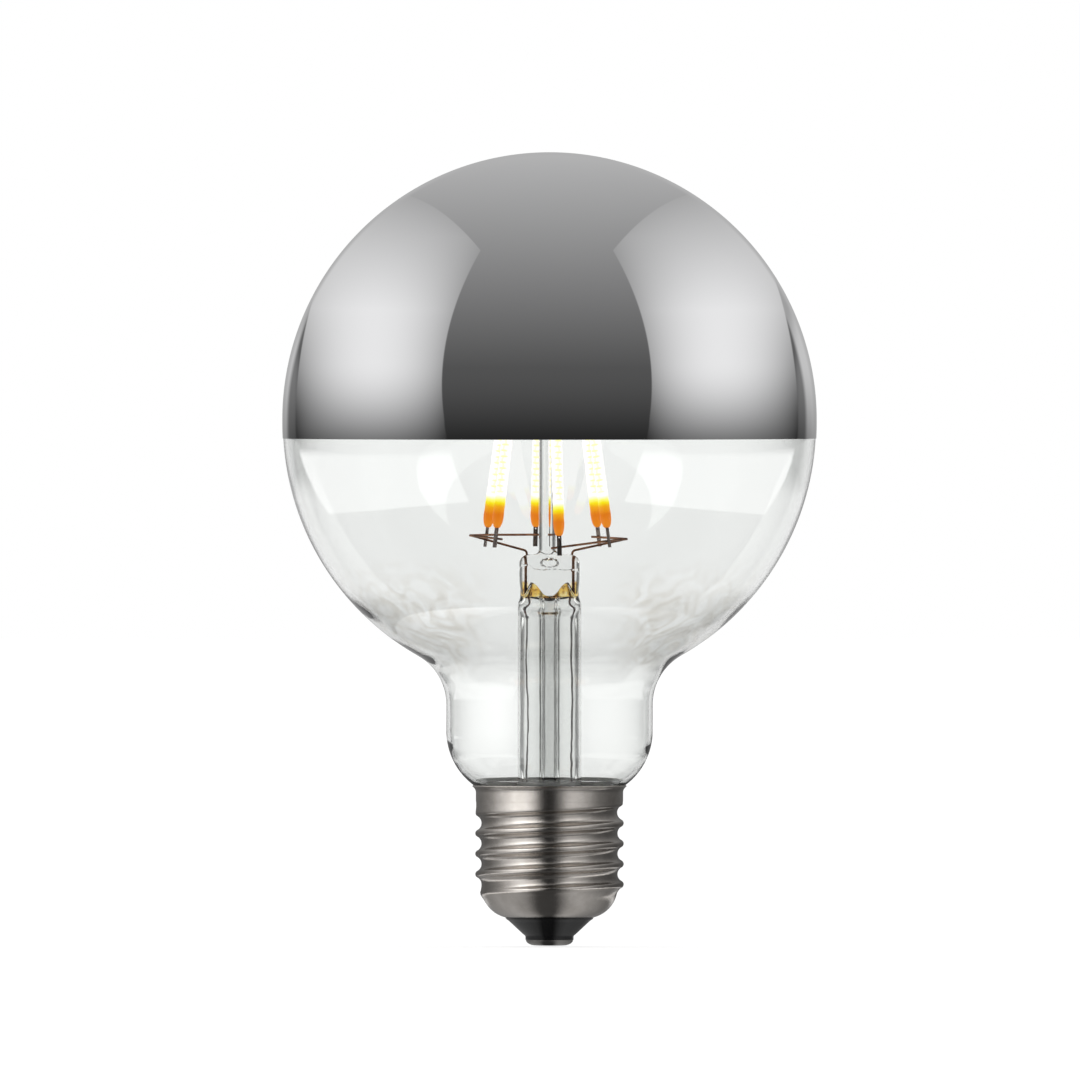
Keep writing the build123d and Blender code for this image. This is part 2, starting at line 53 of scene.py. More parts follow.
# The glass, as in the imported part
globe_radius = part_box("silver_crown")[1].x / mm
lamp_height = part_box("silver_crown")[1].z / mm
mirror_thickness = 0.12
glass_radius = globe_radius - mirror_thickness
globe_band = 0.8
glass_wall = 0.8
neck_radius = 18.35
neck_fillet = 10.0
shoulder_radius = 12.0
seal_radius = 11.5
seal_fillet = 1.0
crown_edge_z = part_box("silver_crown")[0].z / mm
seal_foot_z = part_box("glass_envelope")[0].z / mm

# The screw shell
sheet = 0.25
foot_curl = 5.5
curl_end_angle = 76.0
curl_plain_angle = 60.0
thread_pitch = 3.63
thread_crest_radius = 13.2
thread_depth = 1.1
thread_crest_arc = 0.65
first_crest_z = 10.86
thread_start_turn = 0.75
thread_lead_in = 0.65
thread_run_out = 0.5
thread_fade = 0.9
collar_radius = 13.1
collar_step = 0.04
collar_z = 25.6
collar_height = 1.6
rim_flare_radius = 1.2
rim_flare_angle = 62.0
thread_root_radius = thread_crest_radius - thread_depth
thread_root_arc = (thread_pitch**2 / 4 + thread_depth**2) / (2 * thread_depth) - thread_crest_arc
shell_foot_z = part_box("cap_shell")[0].z / mm
curl_centre_z = shell_foot_z + foot_curl * math.sin(math.radians(curl_end_angle))
curl_centre_radius = thread_root_radius - foot_curl

# The stem
tube_radius = 5.65
tube_wall = 1.0
flare_bend = 4.5
flare_turn = 70.0
pinch_z = 57.6
press_half_width = 5.35
press_half_depth = 2.1
press_foot_z = 62.0
press_top_z = 69.5
press_fillet = 1.6
press_top_depth = 1.55
waist_depth = 0.16
arch_foot_z = 61.6
arch_reach = 4.6
arch_half_depth = 1.9
arch_power = 2.6
arch_rise = 2.6
wing_rise = 0.6
blow_hole_z = 68.0
blow_hole_half_width = 1.8
blow_hole_half_height = 0.85
blow_hole_depth = 1.15
seam_depth = 0.28
exhaust_radius = 1.83
exhaust_bore = 0.95
exhaust_tip_z = 17.0
exhaust_top_z = 61.7
rod_radius = 1.5
rod_x = -0.4
bead_radius = 1.9
bead_z = (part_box("top_cross_wire")[0].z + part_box("top_cross_wire")[1].z) / 2 / mm
lead_spacing = 4.03
outer_lead_radius = 0.17
weld_bead_z = 58.5
board_face_y = 1.76
outer_lead_foot_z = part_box("outer_lead_left")[0].z / mm

# The filaments, round the rod: three a side, and the same three turned half a turn
filament_bearings = (-80.0, -26.2, 40.9, 100.0, 153.8, 220.9)
filament_circle = 11.837
filament_lean = math.radians(8.7)
filament_foot_z = 74.3
front_filament_drop = 1.4
filament_length = 38.0
filament_radius = 1.0
filament_end = 2.4
filament_end_flat = 0.3
chip_pitch = 2.1
chip_swell = 0.03

# The camera, from the photograph: one pixel of it is this many millimetres at the lamp's axis
pixel = 0.17774
photo_size = 1080
axis_column = 549.5
floor_row = 945.5
camera_distance = 8000.0
camera_z = 127.0
sensor_width = 36


# Meshes

def arc(centre, radius, start, stop, count):
    """Points on an arc in the half section (radius, height), from one angle to another in degrees."""
    a = np.radians(np.linspace(start, stop, count))
    return np.column_stack([centre[0] + radius * np.cos(a), centre[1] + radius * np.sin(a)])


def line(start, stop, count):
    """Points evenly spaced on a straight line, without its two ends."""
    t = np.linspace(0, 1, count + 2)[1:-1, None]
    return (1 - t) * np.array(start, float) + t * np.array(stop, float)


def bearing(centre, target):
    """The angle in degrees of the line from one point to another."""
    return math.degrees(math.atan2(target[1] - centre[1], target[0] - centre[0]))


def ease(t):
    """A smooth step from 0 to 1: 3t^2 - 2t^3, with t held between 0 and 1."""
    t = np.clip(t, 0, 1)
    return t * t * (3 - 2 * t)


def skin(name, grid, start_pole=False, end_pole=False, ring=False, downwards=False):
    """A smooth mesh from a grid of points (rows, columns, 3). Its columns always close into a ring.

    A pole folds the first or last row into one point, and ring joins the last row to the first.
    Rows run up the outside of the piece, or down it where downwards is set.
    The UV map runs 0 to 1 round the columns and 0 to 1 along the rows.
    """
    rows, columns = grid.shape[:2]
    index = np.arange(rows * columns).reshape(rows, columns)
    index[0] = index[0, 0] if start_pole else index[0]
    index[-1] = index[-1, 0] if end_pole else index[-1]
    low, high = (index, np.roll(index, -1, axis=0)) if ring else (index[:-1], index[1:])
    row_count = low.shape[0]
    quads = np.stack([low, np.roll(low, -1, axis=1), np.roll(high, -1, axis=1), high], axis=-1)
    u, v = np.meshgrid(np.arange(columns) / columns, np.arange(row_count) / row_count)
    du, dv = 1 / columns, 1 / row_count
    uvs = np.stack([
        np.stack([u, v], -1), np.stack([u + du, v], -1),
        np.stack([u + du, v + dv], -1), np.stack([u, v + dv], -1),
    ], axis=2)
    quads, uvs = quads.reshape(-1, 4), uvs.reshape(-1, 4, 2)
    keep = np.ones(quads.shape, bool)
    keep[:, 1] = quads[:, 1] != quads[:, 0]
    keep[:, 3] = quads[:, 3] != quads[:, 2]
    if downwards:
        quads, uvs, keep = quads[:, ::-1], uvs[:, ::-1], keep[:, ::-1]
    used, corners = np.unique(quads[keep], return_inverse=True)
    totals = keep.sum(axis=1)
    mesh = bpy.data.meshes.new(name)
    mesh.vertices.add(len(used))
    mesh.vertices.foreach_set("co", (grid.reshape(-1, 3)[used] * mm).astype(np.float32).ravel())
    mesh.loops.add(len(corners))
    mesh.loops.foreach_set("vertex_index", corners.astype(np.int32).ravel())
    mesh.polygons.add(len(totals))
    mesh.polygons.foreach_set("loop_start", (np.cumsum(totals) - totals).astype(np.int32))
    mesh.polygons.foreach_set("loop_total", totals.astype(np.int32))
    mesh.uv_layers.new(name="along").data.foreach_set("uv", uvs[keep].astype(np.float32).ravel())
    mesh.update()
    mesh.validate()
    mesh.polygons.foreach_set("use_smooth", np.ones(len(mesh.polygons), bool))
    piece = bpy.data.objects.new(name, mesh)
    bpy.context.scene.collection.objects.link(piece)
    return piece


def sharpen(piece, degrees):
    """Edges that fold by more than an angle are drawn sharp."""
    piece.data.set_sharp_from_angle(angle=math.radians(degrees))
    return piece


def turned(profile, around=256):
    """A grid of revolution: each point (radius, height) of the profile becomes a circle round Z."""
    theta = np.arange(around) * math.tau / around
    radius, height = profile[:, :1], profile[:, 1:]
    return np.stack([radius * np.cos(theta), radius * np.sin(theta), height + 0 * theta], axis=-1)


def drawn_wire(path, radii, around=16):
    """A round bar along a path that nowhere runs along Y, with a radius at each point and round ends.

    Each point of the path becomes a circle square to the path's direction.
    """
    tangent = np.gradient(path, axis=0)
    tangent /= np.linalg.norm(tangent, axis=1)[:, None]
    turn = np.radians(np.linspace(0, 75, 6))
    first = path[0] - tangent[0] * radii[0] * np.cos(turn)[:, None]
    last = (path[-1] + tangent[-1] * radii[-1] * np.cos(turn)[:, None])[::-1]
    points = np.vstack([first, path, last])
    directions = np.vstack([np.repeat(tangent[:1], 6, 0), tangent, np.repeat(tangent[-1:], 6, 0)])
    reach = np.concatenate([radii[0] * np.sin(turn), radii, (radii[-1] * np.sin(turn))[::-1]])
    across = np.cross(directions, np.array([0.0, 1.0, 0.0]))
    across /= np.linalg.norm(across, axis=1)[:, None]
    up = np.cross(directions, across)
    theta = np.arange(around) * math.tau / around
    circle = across[:, None] * np.cos(theta)[:, None] + up[:, None] * np.sin(theta)[:, None]
    return points[:, None] + circle * reach[:, None, None]


def turn_at(z, centre, radius):
    """The angle in degrees where an arc round a centre of the half section reaches a height."""
    return math.degrees(math.asin((z - centre[1]) / radius))


def finish(piece, material, slot, *nodes):
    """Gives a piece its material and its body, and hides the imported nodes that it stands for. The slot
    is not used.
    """
    piece.data.materials.append(material)
    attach(piece, "root")
    if nodes:
        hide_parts(*nodes)


# Materials

class Number:
    """A number in a shader, so that its maths is written as a plain expression."""

    def __init__(self, shader, socket):
        self.shader = shader
        self.socket = socket

    def math(self, operation, *values):
        return self.shader.add("ShaderNodeMath", {"operation": operation}, dict(enumerate(values))).value

    def __add__(self, other):
        return self.math("ADD", self, other)

    def __sub__(self, other):
        return self.math("SUBTRACT", self, other)

    def __rsub__(self, other):
        return self.math("SUBTRACT", other, self)

    def __mul__(self, other):
        return self.math("MULTIPLY", self, other)

    def __truediv__(self, other):
        return self.math("DIVIDE", self, other)

    def __pow__(self, other):
        return self.math("POWER", self, other)

    def absolute(self):
        return self.math("ABSOLUTE", self)

    def sine(self):
        return self.math("SINE", self)

    def root(self):
        return self.math("SQRT", self)

    def least(self, other):
        return self.math("MINIMUM", self, other)

    def most(self, other):
        return self.math("MAXIMUM", self, other)

    def over(self, low, high):
        """0 below low and 1 above high, with a smooth step between. high may be the lower of the two."""
        return self.shader.add(
            "ShaderNodeMapRange", {"interpolation_type": "SMOOTHSTEP"},
            {"Value": self, "From Min": low, "From Max": high},
        ).number("Result")


class Step:
    """A node that was added, with its outputs as numbers or as plain sockets."""

    def __init__(self, shader, node):
        self.shader = shader
        self.node = node

    def number(self, name):
        return Number(self.shader, self.node.outputs[name])

    def output(self, name):
        return self.node.outputs[name]

    @property
    def value(self):
        return Number(self.shader, self.node.outputs[0])


class Shader:
    """The node tree of a material or of the world."""

    def __init__(self, tree):
        self.tree = tree
        tree.nodes.clear()

    def add(self, kind, settings=None, inputs=None):
        """Adds a node of a type. Its settings come first, then the values or links of its sockets."""
        node = self.tree.nodes.new(kind)
        for name, value in (settings or {}).items():
            setattr(node, name, value)
        for name, value in (inputs or {}).items():
            self.feed(node.inputs[name], value)
        return Step(self, node)

    def feed(self, socket, value):
        if isinstance(value, Number):
            self.tree.links.new(value.socket, socket)
        elif isinstance(value, bpy.types.NodeSocket):
            self.tree.links.new(value, socket)
        elif isinstance(value, tuple) and len(value) == 3 and len(socket.default_value) == 4:
            socket.default_value = (*value, 1)
        else:
            socket.default_value = value

    def ramp(self, factor, stops):
        """A colour that runs through stops (place, colour) as a number goes from 0 to 1."""
        step = self.add("ShaderNodeValToRGB", None, {"Fac": factor})
        elements = step.node.color_ramp.elements
        while len(elements) < len(stops):
            elements.new(1)
        for element, (place, colour) in zip(elements, stops):
            element.position = place
            element.color = (*colour, 1)
        return step.output("Color")

    def colour(self, red, green, blue):
        """A colour from three numbers."""
        return self.add("ShaderNodeCombineColor", None, {0: red, 1: green, 2: blue}).output("Color")

    def mix(self, factor, first, second):
        """The colour between two colours."""
        step = self.add("ShaderNodeMix", {"data_type": "RGBA"}, {0: factor, 6: first, 7: second})
        return step.node.outputs[2]

    def place(self):
        """The Object coordinates, in metres in the lamp's frame."""
        return self.add("ShaderNodeTexCoord").output("Object")

    def parts(self, vector):
        """The x, y and z of a vector, as numbers."""
        step = self.add("ShaderNodeSeparateXYZ", None, {0: vector})
        return [step.number(axis) for axis in "XYZ"]

    def noise(self, vector, scale, detail=2.0, roughness=0.5):
        """Smooth noise from 0 to 1, at so many waves a metre."""
        return self.add(
            "ShaderNodeTexNoise", None,
            {"Vector": vector, "Scale": scale, "Detail": detail, "Roughness": roughness},
        ).value

    def bump(self, height, strength, distance):
        return self.add(
            "ShaderNodeBump", None, {"Height": height, "Strength": strength, "Distance": distance}
        ).output("Normal")

    def emission(self, colour, strength):
        step = self.add("ShaderNodeEmission", None, {"Color": colour, "Strength": strength})
        return step.output("Emission")

    def blend(self, factor, first, second):
        """A surface between two surfaces."""
        return self.add("ShaderNodeMixShader", None, {0: factor, 1: first, 2: second}).output("Shader")

    def both(self, first, second):
        """Two surfaces added up."""
        return self.add("ShaderNodeAddShader", None, {0: first, 1: second}).output("Shader")

    def surface(self, look):
        """Makes a look the surface of the material."""
        self.feed(self.add("ShaderNodeOutputMaterial").node.inputs["Surface"], look)


def blank(name):
    """A new material and its empty shader."""
    made = bpy.data.materials.new(name)
    made.use_nodes = True
    return made, Shader(made.node_tree)


def material(name, build):
    """A material whose surface is the Principled shader that build sets up: build returns its sockets."""
    made, shader = blank(name)
    shader.surface(shader.add("ShaderNodeBsdfPrincipled", None, build(shader)).output("BSDF"))
    return made


stem_index = 1.54


def clear_glass(shader):
    """Blown soda glass with faint waves. Its colour darkens to a smoky brown in wavy folds at its left and
    right sides above the neck: painted shade for the dark folds that the thick glass shows there.
    """
    place = shader.place()
    waves = shader.noise(place, 45.0, 1.0)
    x, _, z = shader.parts(place)
    height = z / mm
    sides = (x / mm).absolute().over(9.0, 19.0) * height.over(47.0, 53.0) * height.over(70.0, 58.0)
    # Painted shade: wavy folds of smoky brown at the globe's left and right sides, above the neck.
    painted_fold_shade = (shader.noise(place, 75.0, 2.0, 0.6) * 46.0).sine().over(-0.2, 1.0)
    return {
        "Base Color": shader.mix(painted_fold_shade * sides * 0.55, (0.975, 0.985, 0.976), (0.80, 0.78, 0.73)),
        "Roughness": 0.0, "IOR": 1.5, "Transmission Weight": 1.0,
        "Normal": shader.bump(waves, 0.06, 0.001),
    }


def stem_glass(shader):
    """Drawn and pressed lead glass, with streaks along the draw. Its arches are tinted with amber and gold
    specks: a painted reflection of the lit filaments.

    Its foot is dulled where it meets the cement.
    """
    place = shader.place()
    drawn = shader.add("ShaderNodeMapping", None, {"Vector": place, "Scale": (1, 1, 0.12)})
    streaks = shader.noise(drawn.output("Vector"), 900.0, 2.0)
    x, y, z = shader.parts(place)
    height = z / mm
    # Painted reflection: amber and gold specks on the press's two arches, for the lit filaments mirrored
    # in the glass.
    painted_glint_mask = height.over(60.6, 61.8) * height.over(65.0, 64.4) * (x / mm).absolute().over(4.9, 4.7)
    painted_glint_mask = painted_glint_mask * (y / mm).absolute().over(1.98, 1.9)
    painted_amber_glints = shader.ramp(shader.noise(place, 620.0, 3.0), [
        (0.36, (0.28, 0.13, 0.03)), (0.44, (0.90, 0.50, 0.08)), (0.54, (0.98, 0.70, 0.18)),
        (0.66, (1.0, 0.90, 0.62)),
    ])
    return {
        "Base Color": shader.mix(painted_glint_mask, (0.955, 0.960, 0.955), painted_amber_glints),
        "Roughness": height.over(29.0, 28.2) * 0.5, "IOR": stem_index, "Transmission Weight": 1.0,
        "Normal": shader.bump(streaks, 0.05, 0.0003),
    }


def tube_air(shader):
    """The air in the exhaust tube's bore, seen from the glass round it: the glass's index turned over."""
    return {
        "Base Color": (1.0, 1.0, 1.0), "Roughness": 0.0, "IOR": 1 / stem_index, "Transmission Weight": 1.0,
    }


def crown_mirror(shader):
    """The silver coat. Its colour darkens towards its lower edge."""
    place = shader.place()
    height = shader.parts(place)[2] / mm
    body = height.over(crown_edge_z - 6, crown_edge_z + 14)
    shade = body * 0.93 + shader.noise(place, 60.0, 3.0) * 0.02
    return {
        "Base Color": shader.colour(shade, shade, shade * 1.01), "Metallic": 1.0,
        "Roughness": shader.noise(place, 300.0) * 0.01 + 0.015,
    }


def nickel_cap(shader):
    """Satin nickel on rolled sheet, finely grained."""
    place = shader.place()
    grain = shader.noise(place, 5200.0, 3.0, 0.7)
    cloud = shader.noise(place, 220.0, 4.0, 0.6)
    colour = shader.ramp(cloud, [(0.3, (0.50, 0.465, 0.43)), (0.7, (0.62, 0.585, 0.55))])
    return {
        "Base Color": colour, "Metallic": 1.0, "Roughness": grain * 0.12 + 0.13,
        "Normal": shader.bump(grain, 0.5, 0.00004),
    }


def black_insulator(shader):
    """Black glass, with a slight orange-peel surface."""
    place = shader.place()
    peel = shader.noise(place, 900.0, 2.0)
    return {
        "Base Color": (0.010, 0.010, 0.011), "Roughness": peel * 0.08 + 0.1, "IOR": 1.5,
        "Normal": shader.bump(peel, 0.1, 0.0001),
    }


def contact_metal(shader):
    """Tinned contact, with turning marks round its centre and a dull skin."""
    place = shader.place()
    x, y, _ = shader.parts(place)
    radius = (x * x + y * y).root()
    rings = (radius * (math.tau / 0.0006)).sine()
    cloud = shader.noise(place, 700.0, 3.0)
    return {
        "Base Color": shader.ramp(cloud, [(0.3, (0.20, 0.19, 0.18)), (0.7, (0.36, 0.345, 0.33))]),
        "Metallic": 1.0, "Roughness": cloud * 0.2 + 0.25, "Normal": shader.bump(rings, 0.25, 0.00004),
    }


def copper_lead(shader):
    """Copper-coated wire, browned by the heat of sealing."""
    place = shader.place()
    brown = shader.noise(place, 500.0, 3.0)
    return {
        "Base Color": shader.ramp(brown, [(0.35, (0.16, 0.075, 0.05)), (0.65, (0.50, 0.25, 0.13))]),
        "Metallic": 0.85, "Roughness": brown * 0.2 + 0.32,
    }


def tab_metal(shader):
    """Nickel-iron strip, dark and slightly browned."""
    place = shader.place()
    stain = shader.noise(place, 800.0, 3.0)
    return {
        "Base Color": shader.ramp(stain, [(0.3, (0.16, 0.13, 0.12)), (0.7, (0.34, 0.28, 0.25))]),
        "Metallic": 0.9, "Roughness": stain * 0.2 + 0.35, "Normal": shader.bump(stain, 0.1, 0.00003),
    }


def steel_wire(shader):
    """Drawn steel wire, dark with oxide."""
    place = shader.place()
    oxide = shader.noise(place, 900.0, 3.0)
    return {
        "Base Color": shader.ramp(oxide, [(0.3, (0.045, 0.035, 0.035)), (0.7, (0.15, 0.12, 0.11))]),
        "Metallic": 0.8, "Roughness": oxide * 0.25 + 0.3,
    }


def sealing_wire(shader):
    """Copper-clad sealing wire, red-brown with its glassy borate skin."""
    place = shader.place()
    red = shader.noise(place, 900.0, 2.0)
    return {
        "Base Color": shader.ramp(red, [(0.3, (0.08, 0.02, 0.015)), (0.7, (0.27, 0.075, 0.04))]),
        "Metallic": 0.3, "Roughness": red * 0.1 + 0.2,
    }


def filament_coat(shader):
    """Lit phosphor silicone: orange at the unlit foot, yellow above it and white-hot beyond.

    The chips under the coat show as a row of yellowish gaps down one side. The UV map runs round
    the filament and along it, and reach is the share of its length from the nearer end.
    """
    across, along, _ = shader.parts(shader.add("ShaderNodeTexCoord").output("UV"))
    wobble = shader.noise(shader.place(), 900.0, 1.0) * 0.012
    reach = (along + wobble).least(1 - along + wobble + 0.02)
    glow = shader.ramp(reach * 4.0, [
        (0.0, (0.50, 0.12, 0.010)), (0.12, (0.66, 0.20, 0.006)), (0.28, (0.63, 0.15, 0.0)),
        (0.42, (0.75, 0.33, 0.0)), (0.50, (0.84, 0.72, 0.0)), (0.56, (0.9, 0.9, 0.18)),
        (0.64, (1.0, 1.0, 1.0)),
    ])
    turns = along * (math.tau * filament_length / chip_pitch)
    middle = (across - 0.5 - turns.sine() * 0.03).absolute()
    gaps = (turns * 2.0 + 0.6).sine().over(0.2, 0.95) * middle.over(0.16, 0.05)
    thread = middle.over(0.05, 0.02) * 0.5
    lit = reach.over(0.15, 0.19)
    colour = shader.mix(gaps.most(thread) * lit * 0.8, glow, (1.0, 1.0, 0.30))
    return {
        "Base Color": (0.22, 0.06, 0.004), "Roughness": wobble * 10 + 0.45, "Emission Color": colour,
        "Emission Strength": 1.2,
    }


def cement(shader):
    """Grey-white lamp cement, gritty."""
    place = shader.place()
    grit = shader.noise(place, 1500.0, 5.0, 0.7)
    return {
        "Base Color": shader.ramp(grit, [(0.3, (0.74, 0.72, 0.68)), (0.7, (0.88, 0.86, 0.82))]),
        "Roughness": grit * 0.2 + 0.7, "Normal": shader.bump(grit, 0.6, 0.0002),
    }


def moulded(low, high, roughness, scale=900.0):
    """A material of one pigment with faint mottling, for the small parts of the driver."""
    def build(shader):
        place = shader.place()
        mottle = shader.noise(place, scale, 3.0)
        return {
            "Base Color": shader.ramp(mottle, [(0.3, low), (0.7, high)]),
            "Roughness": mottle * 0.15 + roughness, "Normal": shader.bump(mottle, 0.15, 0.00005),
        }
    return build


finishes = {
    "clear_glass": clear_glass,
    "stem_glass": stem_glass,
    "crown_mirror": crown_mirror,
    "nickel_cap": nickel_cap,
    "cement": cement,
    "black_insulator": black_insulator,
    "contact_metal": contact_metal,
    "filament_coat": filament_coat,
    "tab_metal": tab_metal,
    "copper_lead": copper_lead,
    "sealing_wire": sealing_wire,
    "steel_wire": steel_wire,
    "circuit_board": moulded((0.02, 0.10, 0.04), (0.03, 0.15, 0.06), 0.4),
    "component_black": moulded((0.012, 0.012, 0.013), (0.03, 0.03, 0.032), 0.45),
    "capacitor_sleeve": moulded((0.02, 0.03, 0.07), (0.03, 0.045, 0.10), 0.3),
    "resistor_coat": moulded((0.10, 0.22, 0.28), (0.14, 0.30, 0.36), 0.4),
    "hookup_wire": moulded((0.30, 0.02, 0.02), (0.42, 0.03, 0.03), 0.35),
}
materials = {slot: material(slot, build) for slot, build in finishes.items()}
bore_air = material("bore_air", tube_air)

slots = {row["node"]: row["material_slot"] for row in frame["record"]["subparts"]}
for node_name, node in frame["nodes"].items():
    for holder in node.material_slots:
        holder.material = materials[slots[node_name]]


# Glass envelope and mirror

high_centre = (0.0, lamp_height - globe_radius)
low_centre = (0.0, high_centre[1] - globe_band)
neck_fillet_centre = (
    neck_radius + neck_fillet,
    low_centre[1] - math.sqrt((glass_radius + neck_fillet) ** 2 - (neck_radius + neck_fillet) ** 2),
)
rim_centre = (collar_radius + rim_flare_radius, collar_z + collar_height)
rim_z = rim_centre[1] + (rim_flare_radius + sheet) * math.sin(math.radians(rim_flare_angle))
rim_gap = 0.13
rim_inside = rim_centre[0] - (rim_flare_radius + sheet) * math.cos(math.radians(rim_flare_angle)) - rim_gap
shoulder_centre = (
    neck_radius - shoulder_radius,
    rim_z + math.sqrt(shoulder_radius**2 - (rim_inside - neck_radius + shoulder_radius) ** 2),
)
seal_centre_radius = seal_radius + seal_fillet
seal_fillet_centre = (
    seal_centre_radius,
    shoulder_centre[1]
    - math.sqrt((shoulder_radius + seal_fillet) ** 2 - (seal_centre_radius - shoulder_centre[0]) ** 2),
)


def glass_side(inset, foot_z):
    """The half section of one face of the glass, from its top down to the seal."""
    seal = bearing(seal_fillet_centre, shoulder_centre)
    fillet = bearing(neck_fillet_centre, low_centre)
    neck = neck_radius - inset
    return np.vstack([
        arc(high_centre, glass_radius - inset, 90, 0, 56),
        arc(low_centre, glass_radius - inset, 0, fillet - 180, 44),
        arc(neck_fillet_centre, neck_fillet + inset, fillet, 180, 18)[1:],
        line((neck, neck_fillet_centre[1]), (neck, shoulder_centre[1]), 6),
        arc(shoulder_centre, shoulder_radius - inset, 0, seal - 180, 30),
        arc(seal_fillet_centre, seal_fillet + inset, seal, 180, 6)[1:],
        line((seal_radius - inset, seal_fillet_centre[1]), (seal_radius - inset, foot_z), 3),
        [[seal_radius - inset, foot_z]],
    ])


def blown(grid):
    """The glass's inner face as blowing leaves it, moved in or out along its radius.

    The wall thins by 0.5 at the shoulder, with ripples 0.014 sin(2.6 z + 2 sin(3 theta + 0.7)) on it.
    Above the neck it thickens by 0.22, and at the globe's two sides by up to 0.12 more in folds
    sin(0.75 z + 1.7 sin(4 theta + 0.3)).
    """
    x, y, z = grid[..., 0], grid[..., 1], grid[..., 2]
    radius, theta = np.hypot(x, y), np.arctan2(y, x)
    thin = 0.5 * ease((37 - z) / 4) * ease((z - 26) / 1.5)
    waves = np.sin(2.6 * z + 2 * np.sin(3 * theta + 0.7))
    ripples = 0.014 * ease((z - 30) / 3) * ease((40 - z) / 4) * waves
    neck = ease((z - 46) / 4) * ease((64 - z) / 10)
    sides = ease((np.abs(np.cos(theta)) - 0.45) / 0.4)
    folds = np.sin(0.75 * z + 1.7 * np.sin(4 * theta + 0.3))
    moved = thin + ripples - neck * (0.22 + 0.12 * sides * folds)
    share = 1 + moved / np.maximum(radius, 1)
    return np.stack([x * share, y * share, z], axis=-1)


outer_side = turned(glass_side(0, seal_foot_z))
inner_side = blown(turned(glass_side(glass_wall, seal_foot_z)))[::-1]
finish(
    skin("blown_glass", np.concatenate([outer_side, inner_side]), True, True, downwards=True),
    materials["clear_glass"], "clear_glass", "glass_envelope",
)

mirror_gap = 0.02
edge_angle = turn_at(crown_edge_z, low_centre, globe_radius)
crown_outside = np.vstack([
    arc(high_centre, globe_radius, 90, 0, 90),
    arc(low_centre, globe_radius, 0, edge_angle, 8),
])
crown_inside = np.vstack([
    arc(low_centre, glass_radius + mirror_gap, edge_angle, 0, 8),
    arc(high_centre, glass_radius + mirror_gap, 0, 90, 60),
])
crown = skin("mirror_crown", turned(np.vstack([crown_outside, crown_inside])), True, True, downwards=True)
finish(sharpen(crown, 60), materials["crown_mirror"], "crown_mirror", "silver_crown")


# Screw shell

def thread_drop(distance, inset):
    """How far the rolled wave lies inside its crest line, at a distance along the axis from a crest.

    Crest and root are arcs that meet where the wave is steepest: the crest's radius is
    thread_crest_arc - inset and the root's thread_root_arc + inset, both round fixed centres.
    """
    d = np.abs(distance)
    across = thread_pitch / 2 - d
    crest = thread_crest_arc - np.sqrt(np.maximum((thread_crest_arc - inset) ** 2 - d**2, 0))
    root = thread_depth - thread_root_arc + np.sqrt((thread_root_arc + inset) ** 2 - across**2)
    meeting = thread_pitch / 2 * (thread_crest_arc - inset) / (thread_crest_arc + thread_root_arc)
    return np.where(d < meeting, crest, root)


def thread_radius(theta, z, inset):
    """The radius of the single-start right-hand thread, which grows in at its foot and fades at its top.

    It is root + (crest - wave groove_share - root) ridge_share, less the inset. The shares ease from
    0 to 1 along the helix.
    """
    turn = theta / math.tau
    height = (z - first_crest_z) / thread_pitch
    ridge = np.round(height - turn)
    groove = np.floor(height - turn)
    last_groove = (collar_z - first_crest_z) / thread_pitch - 0.5
    groove_share = ease((last_groove - groove - turn) / thread_run_out)
    groove_share = groove_share * ease((collar_z - z) / thread_fade)
    ridge_share = ease((ridge + turn + thread_start_turn) / thread_lead_in)
    rise = ease((z - collar_z + thread_pitch) / thread_pitch)
    crest = thread_crest_radius - (thread_crest_radius - collar_radius + collar_step) * rise
    wave = thread_drop((height - turn - ridge) * thread_pitch, inset) - inset
    return thread_root_radius + (crest - wave * groove_share - thread_root_radius) * ridge_share - inset


def shell_side(inset, thread_rows):
    """One face of the rolled sheet, from the edge of its curled foot up to the flared rim's edge.

    Rows below the curl's centre turn inwards on an arc. The thread rows follow the wave, and the
    collar and its flare are a straight and an arc.
    """
    theta = np.arange(256)[None, :] * math.tau / 256
    curl = np.linspace(curl_end_angle, 0, 24)[:, None]
    radius = foot_curl - inset
    plain = thread_root_radius - inset
    foot = radius * (1 - np.cos(np.radians(curl)))
    share = 1 - ease(curl / curl_plain_angle)
    curl_height = curl_centre_z - radius * np.sin(np.radians(curl)) + 0 * theta
    curl_radius = plain + (thread_radius(theta, curl_height, inset) - plain) * share - foot
    height = np.linspace(curl_centre_z, collar_z, thread_rows)[1:, None] + 0 * theta
    wave_radius = thread_radius(theta, height, inset)
    flare = arc(rim_centre, rim_flare_radius + inset, 180, 180 - rim_flare_angle, 8)
    collar = np.vstack([[[collar_radius - inset, collar_z + 0.02]], flare])
    rows_radius = np.vstack([curl_radius, wave_radius, collar[:, :1] + 0 * theta])
    rows_height = np.vstack([curl_height, height, collar[:, 1:] + 0 * theta])
    return np.stack([rows_radius * np.cos(theta), rows_radius * np.sin(theta), rows_height], axis=-1)


shell = np.concatenate([shell_side(0, 190), shell_side(sheet, 70)[::-1]])
finish(
    sharpen(skin("rolled_shell", shell, ring=True), 50), materials["nickel_cap"], "nickel_cap", "cap_shell"
)


# The bead of cement that squeezes up between the glass and the rim

bead_gap = 0.03
bead_top_z = rim_z - 0.12
bead_foot_z = collar_z + collar_height + 0.01
bead_outside = rim_flare_radius + sheet + bead_gap
bead_inside = shoulder_radius + bead_gap
bead_side = np.vstack([
    arc(rim_centre, bead_outside, 180, 180 - turn_at(bead_top_z, rim_centre, bead_outside), 8),
    arc(shoulder_centre, bead_inside, turn_at(bead_top_z, shoulder_centre, bead_inside),
        turn_at(bead_foot_z, shoulder_centre, bead_inside), 8),
])
bead = skin("cement_bead", turned(bead_side, 160), ring=True)
finish(sharpen(bead, 40), materials["cement"], "cement")


# Insulator and contact

